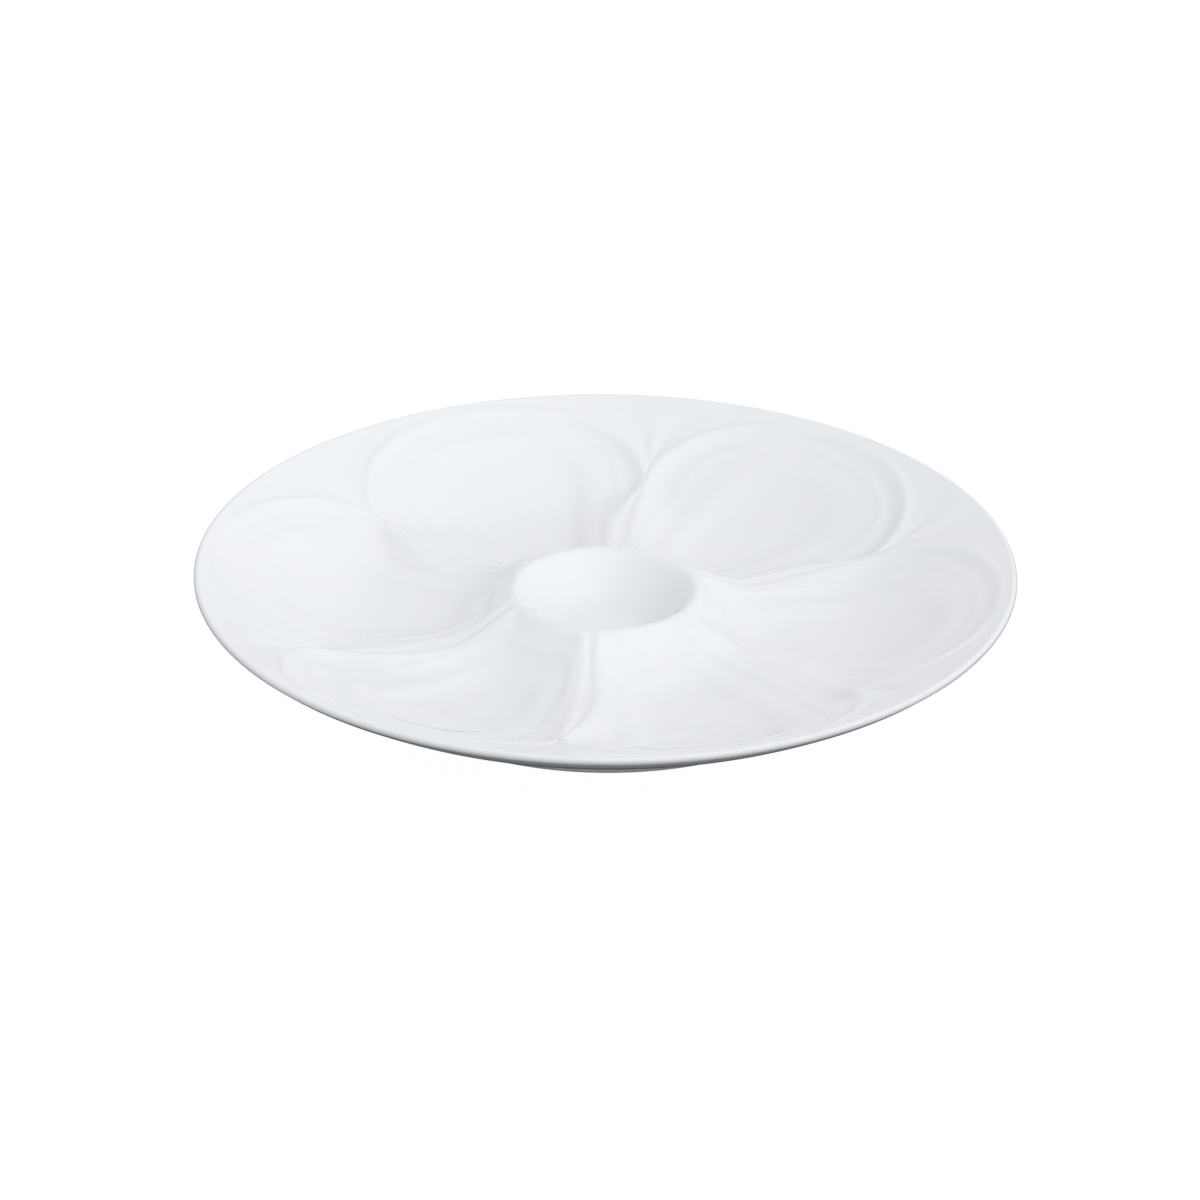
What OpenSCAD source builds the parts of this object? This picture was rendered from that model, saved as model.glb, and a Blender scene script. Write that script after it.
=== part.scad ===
// Oyster plate in white porcelain: six shell-shaped wells round a raised sauce cup,
// on a smooth cone of an underside that stands on a ring foot.
// Millimetres. Z is up, the foot's bearing edge stands on Z = 0 and the plate's axis is Z.
// The first well points along +X.

/* [Plate] */
// Outside diameter over the rim
plate_d = 250; // [220:1:300]
// Height from the table to the top of the rim
plate_h = 31.5; // [29:0.5:40]
// Radius of the rounded lip
lip_r = 1.9; // [1.4:0.1:2.6]
// Number of oyster wells
wells = 6; // [5:1:8]

/* [Sauce cup] */
// Radius of the cup's crest
cup_r = 28; // [22:0.5:34]
// How far the cup's crest lies below the rim
cup_drop = 8.5; // [5:0.5:11]
// Thickness of the floor under the cup
cup_floor_wall = 4; // [3:0.1:6]
// Rounding of the cup's crest
cup_crest_r = 2.4; // [1.5:0.1:4]
// Fall of the cup's inner wall, as rise over run
cup_wall_slope = 1.3; // [0.9:0.05:1.8]
// Fall of the cup's outer flank, as rise over run
cup_flank_slope = 0.6; // [0.4:0.02:0.9]

/* [Wells] */
// Thickness of the floor under the wells
well_floor_wall = 3.6; // [3:0.1:6]
// Thickness of the wells' outer slope over the cone of the underside, measured upright
well_slope_wall = 3.8; // [3:0.1:5]
// Least width between a well's outer edge and the rim's outside
well_rim_gap = 4; // [3:0.1:8]
// Distance from the rim's outside to the point where two wells part
land_length = 37.8; // [30:0.2:48]
// Height of that point above the wells' floor
land_rise = 7.8; // [6:0.1:10]
// Least height of a ridge above the wells' floor
ridge_rise = 5.6; // [3.6:0.1:6.4]
// Fall of a well's wall, as rise over run
well_wall_slope = 0.4; // [0.3:0.02:0.8]
// Rounding of a well's edge and of a ridge's crest
well_edge_r = 2.8; // [1.6:0.1:4]
// Width of a ridge's top at the middle of its length
ridge_top_w = 6; // [1:0.2:8]
// How far the wells' corners at the cup are rounded off
corner_depth = 2.6; // [1.4:0.1:3.4]
// How far the ridges bow sideways between the cup and the land, in degrees
ridge_bow = 3; // [0:0.2:6]
// Height of a well's thin raised edge
bead_h = 0.8; // [0:0.1:1.2]
// Width of that edge's slope into the well
bead_inner_w = 3; // [2:0.1:5]
// Width of that edge's slope to the land
bead_outer_w = 1.7; // [1.2:0.1:3]
// Height of the step at a well's inner growth ring
shelf_h = 1.4; // [0.5:0.1:3]
// Height of the ripple along that growth ring
ripple_h = 0.8; // [0.1:0.05:1]
// Height of the soft pleats that fan out over the land between the wells
pleat_h = 0.3; // [0:0.05:0.8]

/* [Underside] */
// Distance from the rim's outside to the belly, where the underside turns into its cone
belly_inset = 11.7; // [8:0.1:16]
// How far the belly lies below the top of the rim
belly_drop = 9.7; // [7:0.1:11]
// Height of the ring foot
foot_h = 5; // [4.4:0.1:7]
// Outside diameter of the foot where it meets the body
foot_top_d = 155; // [130:1:170]
// How much the foot's outside radius narrows down to its bearing edge
foot_taper = 1.2; // [0.4:0.1:2]
// Thickness of the foot where it meets the body
foot_top_w = 7; // [5:0.1:10]
// Width of the foot's flat bearing edge
foot_land_w = 2.6; // [1.6:0.1:4]
// Rounding of the bearing edge's corners
foot_edge_r = 1.1; // [0.6:0.1:1.6]

/* [Hidden] */

porcelain = "#f3f5f6";
biscuit = "#e9e3d8";

plate_r = plate_d / 2;
cup_crest_z = plate_h - cup_drop;
cup_floor_z = foot_h + cup_floor_wall;
well_floor_z = foot_h + well_floor_wall;
ridge_z = well_floor_z + ridge_rise;
land_point_r = plate_r - land_length;
land_point_z = well_floor_z + land_rise;
well_reach_r = plate_r - well_rim_gap;
belly_r = plate_r - belly_inset;
belly_z = plate_h - belly_drop;
foot_top_r = foot_top_d / 2;
foot_base_r = foot_top_r - foot_taper;
half_a = 180 / wells;

// The lip is a circle. The land above runs into it at its own slope, and so does the wall below.
lip_centre = [plate_r - lip_r, plate_h - lip_r];
land_angle = atan2(plate_h - land_point_z, lip_centre[0] - land_point_r);
under_angle = atan2(lip_centre[1] - belly_z, plate_r - belly_r);
lip_inner_a = 90 + land_angle;
lip_outer_a = under_angle - 90;
lip_inner = lip_centre + lip_r * [cos(lip_inner_a), sin(lip_inner_a)];
lip_outer = lip_centre + lip_r * [cos(lip_outer_a), sin(lip_outer_a)];
land_slope = (lip_inner[1] - land_point_z) / (lip_inner[0] - land_point_r);
cone_slope = (belly_z - foot_h) / (belly_r - foot_top_r);

// Where the bowed ridge rises slowly from its lowest stretch to the land.
ridge_low_share = 0.5;
ridge_low_r = cup_r + ridge_low_share * (land_point_r - cup_r);
ridge_slope = (land_point_z - ridge_z) / (land_point_r - ridge_low_r);

// How softly neighbouring slopes run into each other, and how full a well's outline is.
blend_share = 0.42;
blend = lip_r * blend_share;
cup_blend = 3 * blend;
floor_blend = 4 * blend;
flow_power = 3;
outline_power = 0.58;
pleats_per_land = 3;

// How much steeper than the rest a ridge is on one side and the wall is at the cup, and how
// far round a corner's rounding reaches.
ridge_steep = 1.2;
cup_steep = 1.7;
corner_w = 3 * corner_depth;

// The raised edge is lower along the ridges and fades out near the cup and near the lip.
bead_fade_share = 0.6;
cup_fade = bead_inner_w * 4 / 3;
rim_fade = bead_inner_w * 2;

// Two growth rings run round a well as ripples, steeper inwards, and the inner one is a step
// down as well. It lies at these shares of the way from the edge to the middle, well by well,
// and the outer, lower one partway to it. The way is measured across a well, from the cup and
// from the outer edge.
ring_shares = [0.5, 0.52, 0.38, 0.42, 0.5, 0.44];
outer_ring_share = 0.5;
outer_height_share = 0.45;
outer_narrowness = 2;
ring_step_share = 0.05;
ripple_in_share = 0.08;
ripple_out_share = 0.13;
growth_end = land_length * 0.8;
growth_cup = cup_r * 1.1;

// Stations of the mesh: steps round one well, packed towards its two ridges,
// and steps outwards over the cup, the wells, the land and the lip.
steps_per_well = 22;
ridge_pack_share = 0.55;
cup_shares = [0.16, 0.3, 0.43, 0.54, 0.64, 0.73, 0.81, 0.88, 0.94, 1];
well_shares = [0.02, 0.045, 0.075, 0.11, 0.15, 0.2, 0.26, 0.32, 0.385, 0.45, 0.51, 0.57,
    0.63, 0.685, 0.735, 0.78, 0.82, 0.86, 0.895, 0.925, 0.95, 0.97, 0.985, 1];
land_shares = [0.06, 0.14, 0.26, 0.44, 0.7, 1];
lip_steps = 6;
corner_steps = 24;
sides = wells * steps_per_well;

// Two lines meeting with a soft corner: the greatest of several heights.
function soft_greatest(heights, k) =
    let (top = max(heights))
    top + k * ln([for (h = heights) exp((h - top) / k)] * [for (h = heights) 1]);

// The least of several distances, rounded where two are alike. Past an edge it is negative.
function soft_least(lengths) =
    let (least = min(lengths))
    least <= 0 ? least
    : least * pow([for (l = lengths) pow(least / l, flow_power)] * [for (l = lengths) 1],
          -1 / flow_power);

// How far a wall has fallen at a distance from its rounded crest.
function fall(distance, slope, rounding) =
    slope * (sqrt(distance * distance + rounding * rounding) - rounding);

// Heights along a ridge and on out over the land between two wells.
function flank_height(r) = cup_crest_z - fall(r - cup_r, cup_flank_slope, cup_crest_r);
function land_height(r) =
    let (outward = soft_greatest([
        ridge_z + ridge_slope * (r - ridge_low_r),
        land_point_z + land_slope * (r - land_point_r)], blend))
    soft_greatest([flank_height(r), outward], cup_blend);

// Height of a well's floor: level inside the foot, then parallel to the underside's cone.
function floor_height(r) = soft_greatest([
    well_floor_z,
    foot_h + cone_slope * (r - foot_top_r) + well_slope_wall], floor_blend);

// A well's outer edge, by the angle from the middle of the well.
function outline_r(a) =
    land_point_r + (well_reach_r - land_point_r)
    * pow(max(0, 1 - pow(a / half_a, 2)), outline_power);

// How squarely that edge crosses a line from the centre: 1 at the tip, 0 where two wells meet.
function outline_lean(a) =
    let (step = half_a / steps_per_well,
         near = outline_r(a - step / 2),
         far = outline_r(a + step / 2),
         run = outline_r(a) * step * PI / 180)
    run / sqrt(run * run + (far - near) * (far - near));

// The same edge turned round: the angle at which it crosses a radius.
function outline_angle(r) =
    let (arch = min(1, max(0, (r - land_point_r) / (well_reach_r - land_point_r))))
    half_a * sqrt(1 - pow(arch, 1 / outline_power));

// How far in a point lies from a well's edge. The corners at the cup are rounded off.
function edge_distance(r, a) =
    let (half_top = ridge_top_w / 2 * sin(180 * ridge_share(r)),
         near_ridge = r * sin(half_a - abs(a)),
         reach = pow(r - cup_r, 2) + pow(near_ridge, 2))
    soft_least([
        (r - cup_r) * cup_steep,
        r * sin(half_a - a) - half_top,
        (r * sin(half_a + a) - half_top) * ridge_steep,
        (outline_r(a) - r) * outline_lean(a)])
    - corner_depth * exp(-reach / pow(corner_w, 2));

// Share of the way from a well's edge to its middle, narrowing to the cup as on a shell.
function growth(r, a) =
    soft_least([
        (r - cup_r) / growth_cup,
        sin(half_a - a) / sin(half_a),
        sin(half_a + a) / sin(half_a),
        (outline_r(a) - r) * outline_lean(a) / growth_end]);

// How far a radius lies along a ridge, from the cup to the land.
function ridge_share(r) = min(1, max(0, (r - cup_r) / (land_point_r - cup_r)));

// The thin raised edge of a well, over the distance from that edge.
function bead(r, edge) =
    let (w = edge > 0 ? bead_inner_w : bead_outer_w,
         cup_side = 1 - exp(-pow((r - cup_r) / cup_fade, 2)),
         lip_side = 1 - exp(-pow((lip_inner[0] - r) / rim_fade, 2)))
    bead_h * (1 - bead_fade_share * sin(180 * ridge_share(r)))
    * exp(-pow(edge / w, 2)) * cup_side * lip_side;

// A growth ring's ripple as a share of its height, by how far in from the ring a point is.
function ripple(inward) =
    exp(-pow(inward / (inward > 0 ? ripple_in_share : ripple_out_share), 2));

// Height of the top surface inside a well: its wall, then the two growth rings and the floor.
function well_height(r, a, ring) =
    let (edge = edge_distance(r, a),
         way = growth(r, a),
         top = land_height(r),
         room = max(0, top - floor_height(r)),
         shelf = soft_least([shelf_h, room / 2]) / (1 + exp((way - ring) / ring_step_share)),
         rings = ripple(way - ring)
            + outer_height_share * ripple(outer_narrowness * (way - ring * outer_ring_share)),
         drop = soft_least([
            fall(max(0, edge), well_wall_slope, well_edge_r),
            max(0, room - shelf)]))
    top - drop + bead(r, edge) + ripple_h * rings * min(1, room / (3 * ripple_h));

// Soft pleats that fan out over the land, and die away at its ends and where it is narrow.
function pleat(r, a, share) =
    let (length_share = (lip_inner[0] - outline_r(a)) / (lip_inner[0] - land_point_r),
         width = max(half_a - outline_angle(r), half_a / 60),
         across = (half_a - abs(a)) / width)
    pleat_h * length_share * sin(180 * share) * cos(180 * pleats_per_land * across);

// Height inside the sauce cup: a small level floor and one smooth wall up to the crest.
function cup_height(r) =
    soft_greatest([
        cup_floor_z,
        cup_crest_z - fall(cup_r - r, cup_wall_slope, cup_crest_r)], cup_blend);

// Ridges bow sideways: a ring of the mesh turns by this angle.
function bow(r) = ridge_bow * sin(180 * ridge_share(r));

// The angle within a well of a step, from -half_a to half_a.
function step_angle(i) =
    let (t = 2 * i / steps_per_well - 1)
    half_a * (t + ridge_pack_share * sin(180 * t) / PI);

// A point of the mesh: step i of a ring at radius r, turned by the bow.
function side_point(r, i, z) =
    let (w = floor(i / steps_per_well),
         a = step_angle(i - w * steps_per_well) + 2 * half_a * w + bow(r))
    [r * cos(a), r * sin(a), z];
function local_angle(i) = step_angle(i % steps_per_well);

// Radius of a ring of the mesh in the wells. Near the cup it is round, farther out it leans
// over to the wells' outline.
function station_r(share, a) =
    cup_r + share * (land_point_r - cup_r)
    + pow(share, flow_power) * (outline_r(a) - land_point_r);

// Rings of the mesh: a plain circle, one in the wells and one over the land.
function circle_ring(r, z) = [for (i = [0 : sides - 1]) side_point(r, i, z)];
function well_ring(share) = [for (i = [0 : sides - 1])
    let (a = local_angle(i), r = station_r(share, a),
         ring = ring_shares[floor(i / steps_per_well) % len(ring_shares)])
    side_point(r, i, well_height(r, a, ring))];
function land_ring(share) = [for (i = [0 : sides - 1])
    let (a = local_angle(i), r = outline_r(a) + share * (lip_inner[0] - outline_r(a)))
    side_point(r, i, land_height(r) + pleat(r, a, share)
        + bead(r, (outline_r(a) - r) * outline_lean(a)))];

body_rings = concat(
    [for (s = cup_shares) circle_ring(s * cup_r, cup_height(s * cup_r))],
    [for (s = well_shares) well_ring(s)],
    [for (s = land_shares) land_ring(s)],
    [for (k = [1 : lip_steps])
        let (a = lip_inner_a + (lip_outer_a - lip_inner_a) * k / lip_steps)
        circle_ring(lip_centre[0] + lip_r * cos(a), lip_centre[1] + lip_r * sin(a))],
    [circle_ring(belly_r, belly_z), circle_ring(foot_top_r, foot_h)]);

// A closed solid through rings of points, with one point at the middle of each end.
module ring_solid(rings, first, last) {
    n = len(rings[0]);
    count = len(rings);
    points = concat([first], [for (ring = rings) each ring], [last]);
    polyhedron(points, concat(
        [for (i = [0 : n - 1]) [0, 1 + (i + 1) % n, 1 + i]],
        [for (k = [0 : count - 2], i = [0 : n - 1])
            let (a = 1 + k * n + i, b = 1 + k * n + (i + 1) % n)
            each [[a, b, b + n], [a, b + n, a + n]]],
        [for (i = [0 : n - 1])
            [len(points) - 1, 1 + (count - 1) * n + i, 1 + (count - 1) * n + (i + 1) % n]]));
}

// The pressed body: cup, wells, ridges, land and lip above, one smooth cone below.
module plate_body() {
    color(porcelain)
        ring_solid(body_rings, [0, 0, cup_height(0)], [0, 0, foot_h]);
}

// The ring that the plate stands on, with a rounded, unglazed bearing edge.
module foot_ring() {
    inner_base_r = foot_base_r - foot_land_w - 2 * foot_edge_r;
    color(biscuit)
        rotate_extrude($fn = sides)
            union() {
                polygon([
                    [foot_top_r - foot_top_w, foot_h],
                    [inner_base_r, foot_edge_r],
                    [inner_base_r + foot_edge_r, 0],
                    [foot_base_r - foot_edge_r, 0],
                    [foot_base_r, foot_edge_r],
                    [foot_top_r, foot_h]]);
                for (x = [inner_base_r + foot_edge_r, foot_base_r - foot_edge_r])
                    translate([x, foot_edge_r]) circle(r = foot_edge_r, $fn = corner_steps);
            }
}

plate_body();
foot_ring();
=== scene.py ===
# %% [markdown]
# Oyster plate in glazed white porcelain. This lesson dresses a measured model: the plate's
# sizes come from a fixed frame, and every surface here is worked out with numpy on a grid.
# The plate is one pressed and fired piece, so the work is in one relief surface, in its
# glaze, and in a light soft enough to show white shapes on white.

# %% Load the fixed frame
import math

import bpy
import numpy as np
from mathutils import Matrix, Vector


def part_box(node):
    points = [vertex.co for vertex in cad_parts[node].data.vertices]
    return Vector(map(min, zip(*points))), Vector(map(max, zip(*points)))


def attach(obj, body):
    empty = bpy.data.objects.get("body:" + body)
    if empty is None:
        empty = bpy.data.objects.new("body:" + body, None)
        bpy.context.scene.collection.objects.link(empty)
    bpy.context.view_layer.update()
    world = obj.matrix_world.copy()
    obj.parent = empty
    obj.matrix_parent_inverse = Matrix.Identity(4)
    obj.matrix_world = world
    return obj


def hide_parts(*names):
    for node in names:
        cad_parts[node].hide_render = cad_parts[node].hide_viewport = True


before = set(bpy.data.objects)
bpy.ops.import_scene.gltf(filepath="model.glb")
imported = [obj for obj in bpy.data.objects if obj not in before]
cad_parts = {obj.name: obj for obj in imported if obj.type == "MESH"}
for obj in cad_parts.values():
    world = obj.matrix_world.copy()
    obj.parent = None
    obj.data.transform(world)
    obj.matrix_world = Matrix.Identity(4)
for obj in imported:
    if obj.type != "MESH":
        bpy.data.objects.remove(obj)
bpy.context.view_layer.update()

# %% [markdown]
# The relief is a height over the table for every point of the plate. A sculpted or scanned
# mesh could hold it, but a formula stays smooth at any density and keeps its sizes in view.
# The outside sizes are read from the frame. The sizes of the relief are in millimetres.

# %% Sizes of the plate
MM = 0.001
body_low, body_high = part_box("plate_body")
foot_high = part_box("foot_ring")[1]
PLATE_R = (body_high.x - body_low.x) / 2 / MM
PLATE_H = body_high.z / MM
FOOT_H = foot_high.z / MM
FOOT_TOP_R = foot_high.x / MM

# The photo shows the lip slimmer at its edge than the 1.9 mm of the plain solid.
LIP_R = 1.2

# At the belly the underside turns from the steep wall under the lip into its cone.
BELLY_INSET = 11.7
BELLY_DROP = 9.7
BELLY_R = PLATE_R - BELLY_INSET
BELLY_Z = PLATE_H - BELLY_DROP
BELLY_SOFTNESS = 6.0
print(f"rim radius {PLATE_R:.2f} mm, rim height {PLATE_H:.2f} mm, foot {FOOT_H:.2f} mm high")

# %% Sizes of the sauce cup
CUP_R = 28.0
CUP_DROP = 8.5
CUP_FLOOR_WALL = 4.0
CUP_CREST_Z = PLATE_H - CUP_DROP
CUP_FLOOR_Z = FOOT_H + CUP_FLOOR_WALL
CUP_CREST_ROUNDING = 2.4
CUP_WALL_SLOPE = 1.3
CUP_FLANK_SLOPE = 0.6

# %% Sizes of the wells, and of the land and the ridges between them
WELLS = 6
HALF_ANGLE = 180 / WELLS
WELL_FLOOR_WALL = 3.6
WELL_SLOPE_WALL = 3.8
WELL_RIM_GAP = 4.0
WELL_FLOOR_Z = FOOT_H + WELL_FLOOR_WALL
WELL_REACH_R = PLATE_R - WELL_RIM_GAP
WELL_WALL_SLOPE = 0.4
WELL_EDGE_ROUNDING = 2.8
OUTLINE_POWER = 0.58

# The land comes to a point where two wells part. From there the ridge runs to the cup.
LAND_LENGTH = 37.8
LAND_RISE = 7.8
LAND_POINT_R = PLATE_R - LAND_LENGTH
LAND_POINT_Z = WELL_FLOOR_Z + LAND_RISE
RIDGE_RISE = 5.6
RIDGE_Z = WELL_FLOOR_Z + RIDGE_RISE
RIDGE_LOW_SHARE = 0.5
RIDGE_LOW_R = CUP_R + RIDGE_LOW_SHARE * (LAND_POINT_R - CUP_R)
RIDGE_TOP_W = 6.0
RIDGE_BOW = 3.0

# How much steeper than the rest a well's wall is on one ridge and at the cup, and how far
# its corners at the cup are rounded off.
RIDGE_STEEP = 1.2
CUP_STEEP = 1.7
CORNER_DEPTH = 2.6
CORNER_W = 3 * CORNER_DEPTH

# %% Sizes of the raised edges, the growth rings and the pleats
BEAD_H = 0.8
BEAD_INNER_W = 3.0
BEAD_OUTER_W = 1.7
BEAD_FADE = 0.6
CUP_FADE = BEAD_INNER_W * 4 / 3
RIM_FADE = BEAD_INNER_W * 2

# Each well's inner growth ring lies at a share of the way from its edge to its middle, and
# the outer, lower and narrower ring partway to it.
RING_SHARES = np.array([0.5, 0.52, 0.38, 0.42, 0.5, 0.44])
RING_STEP = 0.05
SHELF_H = 1.4
OUTER_RING = 0.5
OUTER_HEIGHT = 0.45
OUTER_NARROWNESS = 2
RIPPLE_H = 0.8
RIPPLE_IN = 0.08
RIPPLE_OUT = 0.13

# The length of that whole way, counted from the outer edge and from the cup.
GROWTH_END = LAND_LENGTH * 0.8
GROWTH_CUP = CUP_R * 1.1

PLEAT_H = 0.3
PLEATS_PER_LAND = 3
LEAST_LAND_ANGLE = 0.5

# %% [markdown]
# Porcelain has no sharp corner on its face: the mould is soft there, and the glaze rounds it
# again. So slopes run into each other softly here, by way of three small functions.

# %% Soft joins between slopes
# Millimetres over which slopes run together: over the land, at the cup and on the floors.
BLEND = 0.8
CUP_BLEND = 3 * BLEND
FLOOR_BLEND = 4 * BLEND
FLOW_POWER = 3
TINY = 1e-9


def soft_greatest(*heights, blend=BLEND):
    """The greatest of several heights, rounded where two meet: the logarithm of the sum of
    their exponentials, taken over blend millimetres."""
    stack = np.stack(np.broadcast_arrays(*heights))
    top = stack.max(axis=0)
    return top + blend * np.log(np.exp((stack - top) / blend).sum(axis=0))


def soft_least(*lengths):
    """The least of several distances, rounded where two are alike: the lengths are summed
    as inverse powers, and the sum is turned back into a length. Past an edge the least of
    them is negative and is kept as it is."""
    stack = np.stack(np.broadcast_arrays(*lengths))
    least = stack.min(axis=0)
    safe = np.maximum(stack, TINY)
    floor = np.maximum(least, TINY)
    joined = floor * ((floor / safe) ** FLOW_POWER).sum(axis=0) ** (-1 / FLOW_POWER)
    return np.where(least <= 0, least, joined)


def fall(distance, slope, rounding):
    """How far a wall has fallen at a distance from its crest: a hyperbola that is level on
    the crest and ends up at the given slope."""
    return slope * (np.sqrt(distance ** 2 + rounding ** 2) - rounding)


# %% [markdown]
# Seen in section, the rim's lip is a small circle. The land between the wells runs into it
# from above and the wall of the underside from below, both as tangents, so their slopes
# follow from the circle and one more point each.

# %% Lip, land and underside in section
LIP_CENTRE = (PLATE_R - LIP_R, PLATE_H - LIP_R)
LIP_INNER_ANGLE = math.pi / 2 + math.atan2(PLATE_H - LAND_POINT_Z, LIP_CENTRE[0] - LAND_POINT_R)
LIP_OUTER_ANGLE = math.atan2(LIP_CENTRE[1] - BELLY_Z, PLATE_R - BELLY_R) - math.pi / 2
LIP_INNER_R = LIP_CENTRE[0] + LIP_R * math.cos(LIP_INNER_ANGLE)
LIP_INNER_Z = LIP_CENTRE[1] + LIP_R * math.sin(LIP_INNER_ANGLE)
LAND_SLOPE = (LIP_INNER_Z - LAND_POINT_Z) / (LIP_INNER_R - LAND_POINT_R)
RIDGE_SLOPE = (LAND_POINT_Z - RIDGE_Z) / (LAND_POINT_R - RIDGE_LOW_R)
CONE_SLOPE = (BELLY_Z - FOOT_H) / (BELLY_R - FOOT_TOP_R)
WALL_START_R = LIP_CENTRE[0] + LIP_R * math.cos(LIP_OUTER_ANGLE)
WALL_START_Z = LIP_CENTRE[1] + LIP_R * math.sin(LIP_OUTER_ANGLE)
WALL_SLOPE = (WALL_START_Z - BELLY_Z) / (WALL_START_R - BELLY_R)
print(f"land rises {LAND_SLOPE:.3f}, cone of the underside {CONE_SLOPE:.3f}")


def land_height(r):
    """Height along a ridge and out over the land: the greatest of the slowly rising ridge
    and the land's steeper slope, joined more softly to the cup's flank."""
    outward = soft_greatest(
        RIDGE_Z + RIDGE_SLOPE * (r - RIDGE_LOW_R),
        LAND_POINT_Z + LAND_SLOPE * (r - LAND_POINT_R))
    flank = CUP_CREST_Z - fall(r - CUP_R, CUP_FLANK_SLOPE, CUP_CREST_ROUNDING)
    return soft_greatest(flank, outward, blend=CUP_BLEND)


def floor_height(r):
    """Height of a well's floor: level inside the foot, then parallel to the cone of the
    underside, joined softly so that the floor is one hollow curve."""
    cone = FOOT_H + CONE_SLOPE * (r - FOOT_TOP_R) + WELL_SLOPE_WALL
    return soft_greatest(WELL_FLOOR_Z + 0 * r, cone, blend=FLOOR_BLEND)


def wall_height(r):
    """Height of the outer underside: the steeper wall under the lip and the cone below it,
    joined over the belly by a hyperbola."""
    middle_slope = (WALL_SLOPE + CONE_SLOPE) / 2
    half_change = (WALL_SLOPE - CONE_SLOPE) / 2
    from_belly = r - BELLY_R
    return BELLY_Z + middle_slope * from_belly + fall(from_belly, half_change, BELLY_SOFTNESS)


# %% [markdown]
# A well is drawn by its outer edge, a full curve from one ridge to the next, and by one
# wall all round it. The wall falls with the distance from the nearest edge, whichever that
# is: the cup, the two ridges or the outer edge. Joined softly, they give the shell shape.

# %% Outline of the wells
def ridge_share(r):
    """How far a radius lies along a ridge: nothing at the cup and 1 at the land."""
    return np.clip((r - CUP_R) / (LAND_POINT_R - CUP_R), 0, 1)


def bow(r):
    """Sideways turn of a ring of points in degrees: a sine between cup and land."""
    return RIDGE_BOW * np.sin(np.pi * ridge_share(r))


def outline_r(angle):
    """Radius of a well's outer edge by the angle, in degrees, from the well's middle: a
    rounded arch, full at its tip and steep where it meets its neighbour."""
    arch = np.maximum(0, 1 - (angle / HALF_ANGLE) ** 2) ** OUTLINE_POWER
    return LAND_POINT_R + (WELL_REACH_R - LAND_POINT_R) * arch


def outline_lean(angle, step=1.5):
    """How squarely the outer edge crosses a line from the centre: the cosine between the
    edge and a circle, from the edge's rise over a small step of angle in degrees."""
    run = outline_r(angle) * math.radians(step)
    rise = outline_r(angle + step / 2) - outline_r(angle - step / 2)
    return run / np.hypot(run, rise)


def outline_angle(r):
    """The angle at which a well's outer edge crosses a radius: outline_r turned round."""
    arch = np.clip((r - LAND_POINT_R) / (WELL_REACH_R - LAND_POINT_R), 0, 1)
    return HALF_ANGLE * np.sqrt(1 - arch ** (1 / OUTLINE_POWER))


def edge_distance(r, angle):
    """Distance into a well from its edge: the softly joined least distance to the cup, the
    two ridges and the outer edge, less a bell curve that rounds the corners at the cup. A
    ridge's top has a width, most at the middle of its length, and its wall starts there."""
    half_top = RIDGE_TOP_W / 2 * np.sin(np.pi * ridge_share(r))
    near_ridge = r * np.sin(np.radians(HALF_ANGLE - np.abs(angle)))
    corner = np.exp(-((r - CUP_R) ** 2 + near_ridge ** 2) / CORNER_W ** 2)
    return soft_least(
        (r - CUP_R) * CUP_STEEP,
        r * np.sin(np.radians(HALF_ANGLE - angle)) - half_top,
        (r * np.sin(np.radians(HALF_ANGLE + angle)) - half_top) * RIDGE_STEEP,
        (outline_r(angle) - r) * outline_lean(angle)) - CORNER_DEPTH * corner


# %% Growth rings, raised edges and pleats
def growth(r, angle):
    """Share of the way from a well's edge to its middle line, which like the growth lines
    of a shell narrows towards the cup: nothing on the edge and about 1 in the middle."""
    across = math.sin(math.radians(HALF_ANGLE))
    return soft_least(
        (r - CUP_R) / GROWTH_CUP,
        np.sin(np.radians(HALF_ANGLE - angle)) / across,
        np.sin(np.radians(HALF_ANGLE + angle)) / across,
        (outline_r(angle) - r) * outline_lean(angle) / GROWTH_END)


def ripple(inward):
    """A growth ring's ripple as a share of its height: a bell curve over how far in from
    the ring a point is, narrower and so steeper on the inner side."""
    return np.exp(-(inward / np.where(inward > 0, RIPPLE_IN, RIPPLE_OUT)) ** 2)


def open_share(r):
    """Fades the raised edge out towards the cup and towards the lip: one less a bell curve
    of the distance to each, multiplied."""
    cup_side = 1 - np.exp(-((r - CUP_R) / CUP_FADE) ** 2)
    return cup_side * (1 - np.exp(-((LIP_INNER_R - r) / RIM_FADE) ** 2))


def bead_height(r, edge):
    """The thin raised edge of a well, as on a shell: a bell curve over the distance from
    the edge, wider inside the well than over the land, and lower along the ridges."""
    width = np.where(edge > 0, BEAD_INNER_W, BEAD_OUTER_W)
    full = BEAD_H * (1 - BEAD_FADE * np.sin(np.pi * ridge_share(r)))
    return full * np.exp(-(edge / width) ** 2) * open_share(r)


def pleat_height(r, angle, share):
    """Soft pleats that fan out over the land from its point: a cosine across the land's
    width at this radius, faded by a sine along it and by the land's length."""
    length = (LIP_INNER_R - outline_r(angle)) / (LIP_INNER_R - LAND_POINT_R)
    width = np.maximum(HALF_ANGLE - outline_angle(r), LEAST_LAND_ANGLE)
    across = (HALF_ANGLE - np.abs(angle)) / width
    return PLEAT_H * length * np.sin(np.pi * share) * np.cos(np.pi * PLEATS_PER_LAND * across)


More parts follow.
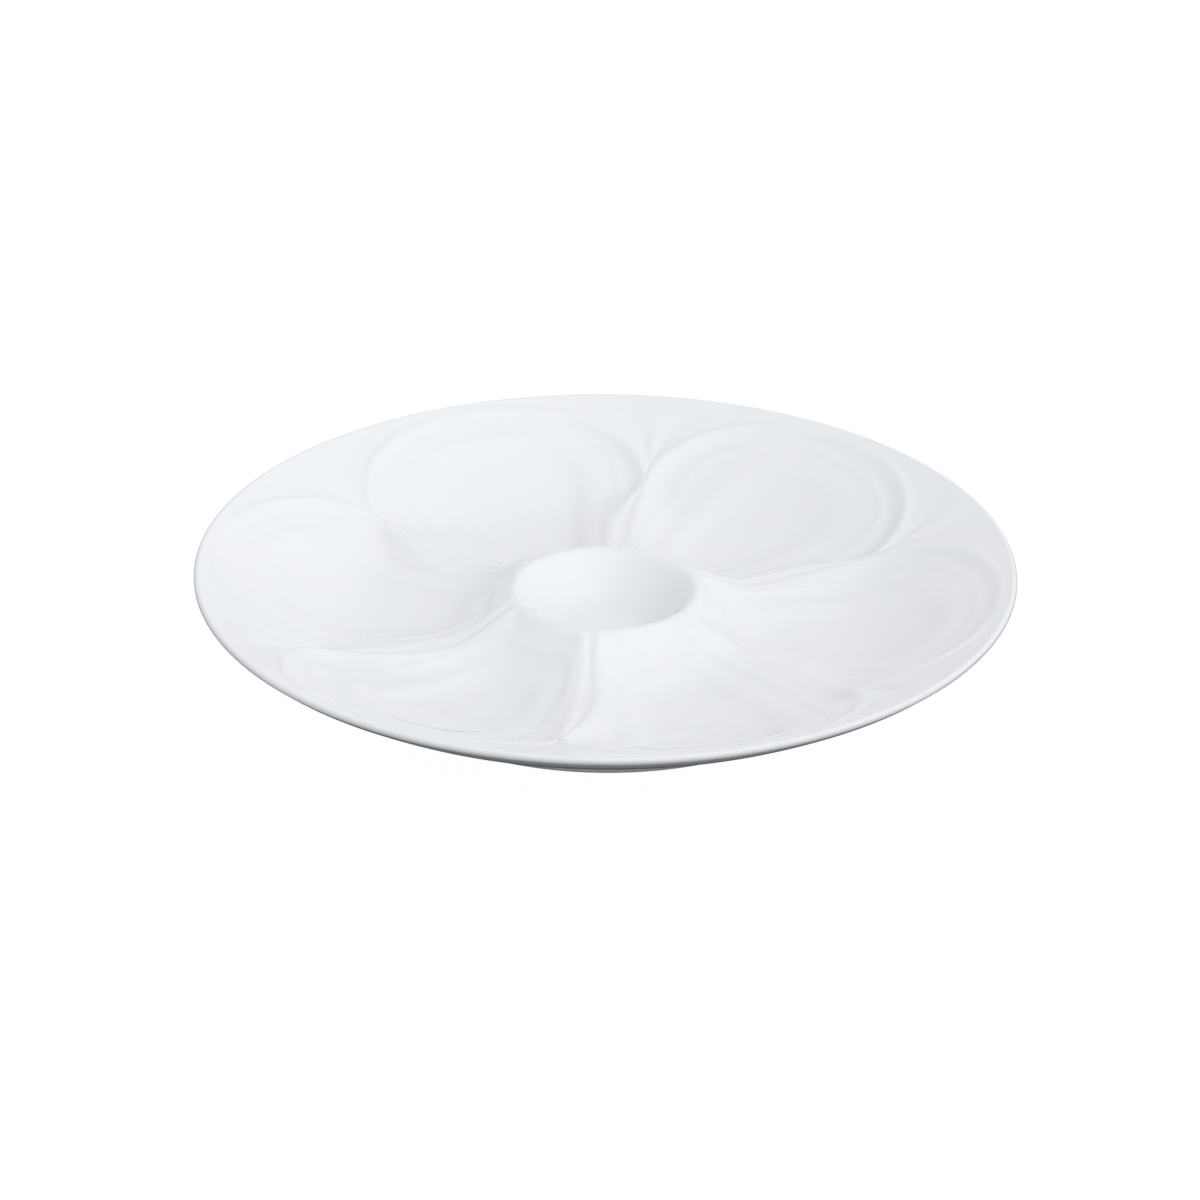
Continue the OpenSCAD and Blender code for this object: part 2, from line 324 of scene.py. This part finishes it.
# %% Height inside the wells and the cup
def well_height(r, angle, ring):
    """Height in a well: the land's height less a drop, where the drop is the wall's fall
    limited by the depth of the floor. Two growth rings run round it as ripples, the inner
    one at the share given, where the floor steps down as well. Where the well is shallow,
    the step and the ripples are lower."""
    edge = edge_distance(r, angle)
    way = growth(r, angle)
    top = land_height(r)
    room = np.maximum(0, top - floor_height(r))
    shelf = soft_least(SHELF_H, room / 2) / (1 + np.exp((way - ring) / RING_STEP))
    outer = ripple(OUTER_NARROWNESS * (way - ring * OUTER_RING))
    rings = ripple(way - ring) + OUTER_HEIGHT * outer
    wall = fall(np.maximum(0, edge), WELL_WALL_SLOPE, WELL_EDGE_ROUNDING)
    drop = soft_least(wall, np.maximum(0, room - shelf))
    relief = RIPPLE_H * rings * np.minimum(1, room / (3 * RIPPLE_H))
    return top - drop + bead_height(r, edge) + relief


def cup_height(r):
    """Height in the sauce cup: a level floor joined softly to a wall that falls inwards
    from the rounded crest."""
    wall = CUP_CREST_Z - fall(CUP_R - r, CUP_WALL_SLOPE, CUP_CREST_ROUNDING)
    return soft_greatest(CUP_FLOOR_Z + 0 * r, wall, blend=CUP_BLEND)


# %% [markdown]
# The grid follows the form: its rings run along the cup's crest, along the wells' outer
# edges and along the lip, so that no edge is cut across by a row of faces. A plain square
# grid would need many times the points to show the same edges.

# %% Put a grid of points into a mesh
def grid_mesh(name, rings, first=None, last=None):
    """A closed skin through rings of points. Each ring is an array of points, one row of
    the grid. A first and a last point close the ends as fans; without them the last ring
    joins the first, as on a ring-shaped piece."""
    count, around = rings.shape[:2]
    points = rings.reshape(-1, 3)
    row = np.arange(count - 1 if first is not None else count)[:, None]
    step = np.arange(around)[None, :]
    here = row * around
    there = (row + 1) % count * around
    quads = np.stack([here + step, there + step, there + (step + 1) % around,
                      here + (step + 1) % around], axis=-1).reshape(-1, 4)
    loops = quads.ravel()
    sizes = np.full(len(quads), 4)
    if first is not None:
        ring = np.arange(around)
        start, end = len(points), len(points) + 1
        points = np.vstack([points, first, last])
        fan = np.stack([np.full(around, start), ring, (ring + 1) % around], axis=-1)
        tail = (count - 1) * around
        close = np.stack([np.full(around, end), tail + (ring + 1) % around, tail + ring], axis=-1)
        loops = np.concatenate([loops, fan.ravel(), close.ravel()])
        sizes = np.concatenate([sizes, np.full(2 * around, 3)])
    mesh = bpy.data.meshes.new(name)
    mesh.vertices.add(len(points))
    mesh.vertices.foreach_set("co", (points * MM).astype(np.float32).ravel())
    mesh.loops.add(len(loops))
    mesh.loops.foreach_set("vertex_index", loops.astype(np.int32))
    mesh.polygons.add(len(sizes))
    mesh.polygons.foreach_set("loop_start", (np.cumsum(sizes) - sizes).astype(np.int32))
    mesh.polygons.foreach_set("loop_total", sizes.astype(np.int32))
    mesh.polygons.foreach_set("use_smooth", np.ones(len(sizes), dtype=bool))
    mesh.update(calc_edges=True)
    mesh.validate()
    piece = bpy.data.objects.new(name, mesh)
    bpy.context.scene.collection.objects.link(piece)
    print(f"{name}: {len(points)} points, {len(sizes)} faces")
    return piece


# %% Steps of the grid, round the plate and outwards
STEPS_PER_WELL = 80
RIDGE_PACKING = 0.55
EVEN_SHARE = 0.35

# Rings of points over the cup, the wells, the land, the lip, the underside and the base.
CUP_RINGS = 30
WELL_RINGS = 105
LAND_RINGS = 18
LIP_RINGS = 18
WALL_RINGS = 18
BASE_RINGS = 5

t = np.arange(STEPS_PER_WELL) / STEPS_PER_WELL * 2 - 1
well_angle = HALF_ANGLE * (t + RIDGE_PACKING * np.sin(np.pi * t) / np.pi)
local_angle = np.tile(well_angle, WELLS)
middle_angle = np.repeat(np.arange(WELLS) * 2 * HALF_ANGLE, STEPS_PER_WELL)
edge_r = outline_r(local_angle)
ring_share = np.repeat(np.resize(RING_SHARES, WELLS), STEPS_PER_WELL)


def eased(count):
    """Shares up to 1, without the start, packed towards both ends: partly even and partly
    spaced by a cosine."""
    even = np.arange(1, count + 1) / count
    return EVEN_SHARE * even + (1 - EVEN_SHARE) * (1 - np.cos(np.pi * even)) / 2


def place(r, z):
    """Points at a radius and a height at every step round the plate, turned by the bow."""
    r = np.broadcast_to(r, local_angle.shape)
    angle = np.radians(middle_angle + local_angle + bow(r))
    return np.stack([r * np.cos(angle), r * np.sin(angle), np.broadcast_to(z, r.shape)], axis=-1)


def station_r(share):
    """Radius of a ring of the mesh in the wells: round near the cup, and farther out leaning
    over to the wells' outline by the third power of its share."""
    return CUP_R + share * (LAND_POINT_R - CUP_R) + share ** 3 * (edge_r - LAND_POINT_R)


# %% The plate's body as one surface
# The soft joins leave the land a little higher at the crest than the cup's wall. The cup's
# side is lifted to it by a high power of the radius, so the lift is near the crest only.
CREST_LIFT = land_height(CUP_R) - cup_height(CUP_R)
CREST_LIFT_POWER = 6

rings = []
for share in eased(CUP_RINGS):
    lift = CREST_LIFT * share ** CREST_LIFT_POWER
    rings.append(place(CUP_R * share, cup_height(CUP_R * share) + lift))
for share in eased(WELL_RINGS):
    r = station_r(share)
    rings.append(place(r, well_height(r, local_angle, ring_share)))
for share in eased(LAND_RINGS):
    r = edge_r + share * (LIP_INNER_R - edge_r)
    pleat = pleat_height(r, local_angle, share)
    outside = (edge_r - r) * outline_lean(local_angle)
    rings.append(place(r, land_height(r) + pleat + bead_height(r, outside)))
for a in np.linspace(LIP_INNER_ANGLE, LIP_OUTER_ANGLE, LIP_RINGS + 1)[1:]:
    rings.append(place(LIP_CENTRE[0] + LIP_R * np.cos(a), LIP_CENTRE[1] + LIP_R * np.sin(a)))
for r in np.linspace(WALL_START_R, FOOT_TOP_R, WALL_RINGS + 2)[1:-1]:
    rings.append(place(r, wall_height(r)))
for r in np.linspace(FOOT_TOP_R, 0, BASE_RINGS + 1)[:-1]:
    rings.append(place(r, FOOT_H))
plate = grid_mesh("porcelain_body", np.array(rings),
                  first=[[0, 0, float(cup_height(0.0))]], last=[[0, 0, FOOT_H]])
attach(plate, "root")
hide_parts("plate_body")

# %% [markdown]
# The foot is a ring that a potter trims to stand flat. Its section is a small closed
# curve turned about the axis. Its bearing edge is level and its corners are rounded, where
# the glaze is wiped off before firing so that the plate doesn't stick to the kiln shelf.

# %% The ring foot as a turned section
FOOT_TAPER = 1.2
FOOT_BASE_R = FOOT_TOP_R - FOOT_TAPER
FOOT_TOP_W = 7.0
FOOT_LAND_W = 2.6
FOOT_EDGE_R = 1.1
FOOT_EDGE_POINTS = 9
FOOT_STEPS = STEPS_PER_WELL * WELLS


def lower_corner(centre_r, start, end):
    """Points of a rounded corner of the bearing edge: a stretch of a circle between two
    angles in degrees."""
    a = np.radians(np.linspace(start, end, FOOT_EDGE_POINTS))
    return np.stack([centre_r + FOOT_EDGE_R * np.cos(a), FOOT_EDGE_R * (1 + np.sin(a))], axis=-1)


section = np.vstack([
    lower_corner(FOOT_BASE_R - FOOT_EDGE_R - FOOT_LAND_W, 180, 270),
    lower_corner(FOOT_BASE_R - FOOT_EDGE_R, 270, 360),
    [[FOOT_TOP_R, FOOT_H], [FOOT_TOP_R - FOOT_TOP_W, FOOT_H]]])
turn = np.linspace(0, 2 * np.pi, FOOT_STEPS, endpoint=False)
foot_rings = np.stack([section[:, :1] * np.cos(turn), section[:, :1] * np.sin(turn),
                       np.broadcast_to(section[:, 1:], (len(section), FOOT_STEPS))], axis=-1)
foot = grid_mesh("ring_foot", foot_rings)
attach(foot, "root")
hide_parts("foot_ring")

# %% [markdown]
# Glazed porcelain is a white, slightly see-through clay under a clear glass. The eye reads
# it from two things: an even, cool white from the clay and sharp, faint reflections from
# the glass. One shader does both: a rough white base with a smooth coat over it.

# %% Colours and nodes
def linear(hex_colour):
    """Linear RGBA from an sRGB hex colour such as #f3f5f6, by the sRGB curve."""
    parts = [int(hex_colour[i:i + 2], 16) / 255 for i in (1, 3, 5)]
    return [c / 12.92 if c <= 0.04045 else ((c + 0.055) / 1.055) ** 2.4 for c in parts] + [1.0]


def add_node(tree, kind, inputs=(), **settings):
    """Adds a node. inputs are pairs of a socket's name or number and a value or another
    node's output. settings are the node's own attributes."""
    node = tree.nodes.new(kind)
    for key, value in settings.items():
        setattr(node, key, value)
    for socket, value in inputs:
        if isinstance(value, bpy.types.NodeSocket):
            tree.links.new(value, node.inputs[socket])
        else:
            node.inputs[socket].default_value = value
    return node


def new_material(name):
    """A material with an empty node tree and its output node."""
    material = bpy.data.materials.new(name)
    material.use_nodes = True
    material.node_tree.nodes.clear()
    output = add_node(material.node_tree, "ShaderNodeOutputMaterial")
    return material, material.node_tree, output


# %% Glazed porcelain
CLAY_CLOUD_MM = 45
GLAZE_WAVE_MM = 38
GLAZE_WAVE_DEPTH_MM = 0.05


def glazed_porcelain():
    """White porcelain under a clear glaze, pressed and fired: faint cool variation in the
    clay, and a glaze whose surface waves very slightly over a few centimetres."""
    material, tree, output = new_material("glazed_white_porcelain")
    coords = add_node(tree, "ShaderNodeTexCoord")
    cloud = add_node(tree, "ShaderNodeTexNoise", [
        ("Vector", coords.outputs["Object"]), ("Scale", 1 / (CLAY_CLOUD_MM * MM)),
        ("Detail", 2.0)])
    tint = add_node(tree, "ShaderNodeMix", [
        (0, cloud.outputs["Fac"]), (6, linear("#f0f2f4")), (7, linear("#f4f5f6"))],
        data_type="RGBA")
    wave = add_node(tree, "ShaderNodeTexNoise", [
        ("Vector", coords.outputs["Object"]), ("Scale", 1 / (GLAZE_WAVE_MM * MM)),
        ("Detail", 1.0), ("Roughness", 0.4)])
    bump = add_node(tree, "ShaderNodeBump", [
        ("Height", wave.outputs["Fac"]), ("Distance", GLAZE_WAVE_DEPTH_MM * MM)])
    shader = add_node(tree, "ShaderNodeBsdfPrincipled", [
        ("Base Color", tint.outputs[2]), ("Roughness", 0.35), ("IOR", 1.5),
        ("Specular IOR Level", 0.0), ("Coat Weight", 1.0), ("Coat Roughness", 0.04),
        ("Coat IOR", 1.5), ("Normal", bump.outputs["Normal"]),
        ("Coat Normal", bump.outputs["Normal"])])
    tree.links.new(shader.outputs["BSDF"], output.inputs["Surface"])
    return material


plate.data.materials.append(glazed_porcelain())

# %% Foot: glazed walls and a bare bearing edge
GLAZE_LINE_MM = 1.0
GLAZE_LINE_RAGGED_MM = 0.5
GLAZE_LINE_WAVE_MM = 9
GLAZE_LINE_SOFT_MM = 0.1

# Ground clay has finer grit than this. It is drawn as coarse as it needs to be to show.
GRIT_MM = 0.6
GRIT_DEPTH_MM = 0.02


def foot_porcelain():
    """The same porcelain with glazed walls, and bare below the glaze line, where the fired
    clay is matt, a little warmer and finely ground."""
    material, tree, output = new_material("foot_porcelain")
    coords = add_node(tree, "ShaderNodeTexCoord")
    split = add_node(tree, "ShaderNodeSeparateXYZ", [("Vector", coords.outputs["Object"])])
    ragged = add_node(tree, "ShaderNodeTexNoise", [
        ("Vector", coords.outputs["Object"]), ("Scale", 1 / (GLAZE_LINE_WAVE_MM * MM)),
        ("Detail", 3.0)])
    height = add_node(tree, "ShaderNodeMath", [
        (0, ragged.outputs["Fac"]), (1, GLAZE_LINE_RAGGED_MM * MM), (2, split.outputs["Z"])],
        operation="MULTIPLY_ADD")
    line = GLAZE_LINE_MM + GLAZE_LINE_RAGGED_MM / 2
    glazed = add_node(tree, "ShaderNodeMapRange", [
        ("Value", height.outputs[0]), ("From Min", (line - GLAZE_LINE_SOFT_MM) * MM),
        ("From Max", (line + GLAZE_LINE_SOFT_MM) * MM)])
    colour = add_node(tree, "ShaderNodeMix", [
        (0, glazed.outputs[0]), (6, linear("#e4dfd6")), (7, linear("#f2f4f5"))],
        data_type="RGBA")
    rough = add_node(tree, "ShaderNodeMapRange", [
        ("Value", glazed.outputs[0]), ("To Min", 0.75), ("To Max", 0.08)])
    grit = add_node(tree, "ShaderNodeTexNoise", [
        ("Vector", coords.outputs["Object"]), ("Scale", 1 / (GRIT_MM * MM)), ("Detail", 2.0)])
    bump = add_node(tree, "ShaderNodeBump", [
        ("Height", grit.outputs["Fac"]), ("Distance", GRIT_DEPTH_MM * MM), ("Strength", 0.6)])
    shader = add_node(tree, "ShaderNodeBsdfPrincipled", [
        ("Base Color", colour.outputs[2]), ("Roughness", rough.outputs[0]), ("IOR", 1.5),
        ("Normal", bump.outputs["Normal"])])
    tree.links.new(shader.outputs["BSDF"], output.inputs["Surface"])
    return material


foot.data.materials.append(foot_porcelain())

# %% [markdown]
# The plate stands on a white floor in a white room, as in a light tent. The floor keeps the
# plate's soft shadow. To the camera most of the floor's white is given, not lit, so that it
# stays as white as paper without any more light on the plate.

# %% White floor
FLOOR_M = 6.0

# How much of the floor's white is given, to the camera and in the glaze's reflections, and
# how far round the plate's middle the glaze mirrors the floor's shade.
GIVEN_TO_CAMERA = 0.97
GIVEN_TO_GLAZE = 0.75
SHADE_M = 0.2
floor_mesh = bpy.data.meshes.new("floor")
side = FLOOR_M / 2
floor_mesh.from_pydata([(-side, -side, 0), (side, -side, 0), (side, side, 0), (-side, side, 0)],
                       [], [(0, 1, 2, 3)])
floor_sheet = bpy.data.objects.new("floor", floor_mesh)
bpy.context.scene.collection.objects.link(floor_sheet)


def white_floor():
    """Matt board. To the camera it is white, and most of that white is given. To the light
    that bounces under the plate it is dark grey, so that the underside keeps its shade. The
    glaze mirrors the far floor as white, and near the plate it mirrors that shade."""
    material, tree, output = new_material("white_board")
    path = add_node(tree, "ShaderNodeLightPath")
    coords = add_node(tree, "ShaderNodeTexCoord")
    reach = add_node(tree, "ShaderNodeVectorMath", [(0, coords.outputs["Object"])],
                     operation="LENGTH")
    far = add_node(tree, "ShaderNodeMapRange", [
        ("Value", reach.outputs["Value"]), ("From Min", SHADE_M), ("From Max", 2 * SHADE_M),
        ("To Max", GIVEN_TO_GLAZE)])
    to_camera = add_node(tree, "ShaderNodeMath", [
        (0, path.outputs["Is Camera Ray"]), (1, GIVEN_TO_CAMERA)], operation="MULTIPLY")
    to_glaze = add_node(tree, "ShaderNodeMath", [
        (0, path.outputs["Is Glossy Ray"]), (1, far.outputs[0])], operation="MULTIPLY")
    share = add_node(tree, "ShaderNodeMath", [
        (0, to_camera.outputs[0]), (1, to_glaze.outputs[0])], operation="MAXIMUM")
    tone = add_node(tree, "ShaderNodeMix", [
        (0, path.outputs["Is Camera Ray"]), (6, linear("#84868a")), (7, linear("#fbfbfb"))],
        data_type="RGBA")
    matt = add_node(tree, "ShaderNodeBsdfDiffuse", [("Color", tone.outputs[2])])
    given = add_node(tree, "ShaderNodeEmission", [
        ("Color", linear("#ffffff")), ("Strength", 1.02)])
    mix = add_node(tree, "ShaderNodeMixShader", [
        (0, share.outputs[0]), (1, matt.outputs[0]), (2, given.outputs[0])])
    tree.links.new(mix.outputs[0], output.inputs["Surface"])
    return material


floor_mesh.materials.append(white_floor())

# %% [markdown]
# The light is a white tent that glows unevenly. Three broad lobes brighten it: the strongest
# to the right of the camera, one on the plate's right and a low, weak one behind it on the
# right. Lamps would do the same, but their edges would show in the glaze.

# %% World: a tent with broad lobes of light
TENT_STRENGTH = 0.668

# For each lobe: azimuth and elevation in degrees, strength, and how narrow it is.
TENT_LOBES = [(-60, 45, 0.66, 3.0), (0, 45, 0.35, 3.0), (60, 12, 0.24, 3.0)]

world = bpy.data.worlds.new("light_tent")
world.use_nodes = True
world.node_tree.nodes.clear()
tent = world.node_tree
direction = add_node(tent, "ShaderNodeTexCoord").outputs["Generated"]
strength = None
for azimuth, elevation, power, narrow in TENT_LOBES:
    a, e = math.radians(azimuth), math.radians(elevation)
    toward = (math.cos(a) * math.cos(e), math.sin(a) * math.cos(e), math.sin(e))
    facing = add_node(tent, "ShaderNodeVectorMath", [(0, direction), (1, toward)],
                      operation="DOT_PRODUCT")
    front = add_node(tent, "ShaderNodeMath", [(0, facing.outputs["Value"]), (1, 0.0)],
                     operation="MAXIMUM")
    lobe = add_node(tent, "ShaderNodeMath", [(0, front.outputs[0]), (1, narrow)],
                    operation="POWER")
    strength = add_node(tent, "ShaderNodeMath", [
        (0, lobe.outputs[0]), (1, power),
        (2, TENT_STRENGTH if strength is None else strength)], operation="MULTIPLY_ADD").outputs[0]
path = add_node(tent, "ShaderNodeLightPath")
tent_light = add_node(tent, "ShaderNodeBackground", [
    ("Color", linear("#f8f9fb")), ("Strength", strength)])
tent_seen = add_node(tent, "ShaderNodeBackground", [
    ("Color", linear("#ffffff")), ("Strength", 1.0)])
tent_mix = add_node(tent, "ShaderNodeMixShader", [
    (0, path.outputs["Is Camera Ray"]), (1, tent_light.outputs[0]), (2, tent_seen.outputs[0])])
add_node(tent, "ShaderNodeOutputWorld", [("Surface", tent_mix.outputs[0])])
bpy.context.scene.world = world

# %% [markdown]
# The camera looks down at the plate at a low angle through a long lens. Its angle, distance
# and focal length were worked out from the rim's ellipse and the six wells.

# %% Camera
CAMERA_ELEVATION = 26.33
CAMERA_AZIMUTH = 8.3
CAMERA_ROLL = 0.45
CAMERA_DISTANCE = 1.5
TARGET = Vector((0, 0, PLATE_H * MM))

# The photo is 1200 pixels wide and high. These are pixels of it.
IMAGE_PX = 1200
FOCAL_PX = 4930
RIM_CENTRE_PX = (605.6, 562.6)
SENSOR_MM = 36

elevation = math.radians(CAMERA_ELEVATION)
heading = math.radians(CAMERA_AZIMUTH - 90)
back = Vector((math.cos(heading) * math.cos(elevation), math.sin(heading) * math.cos(elevation),
               math.sin(elevation)))
lens = bpy.data.cameras.new("camera")
lens.sensor_width = SENSOR_MM
lens.lens = FOCAL_PX / IMAGE_PX * SENSOR_MM
lens.shift_x = (IMAGE_PX / 2 - RIM_CENTRE_PX[0]) / IMAGE_PX
lens.shift_y = (RIM_CENTRE_PX[1] - IMAGE_PX / 2) / IMAGE_PX
lens.clip_start = 0.01
camera = bpy.data.objects.new("camera", lens)
turned = back.to_track_quat("Z", "Y").to_matrix().to_4x4()
camera.matrix_world = (Matrix.Translation(TARGET + back * CAMERA_DISTANCE) @ turned
                       @ Matrix.Rotation(math.radians(CAMERA_ROLL), 4, "Z"))
bpy.context.scene.collection.objects.link(camera)
bpy.context.scene.camera = camera
print(f"camera: {lens.lens:.1f} mm lens at {CAMERA_DISTANCE} m")

# %% Plain colour management
bpy.context.scene.view_settings.view_transform = "Standard"
bpy.context.view_layer.update()
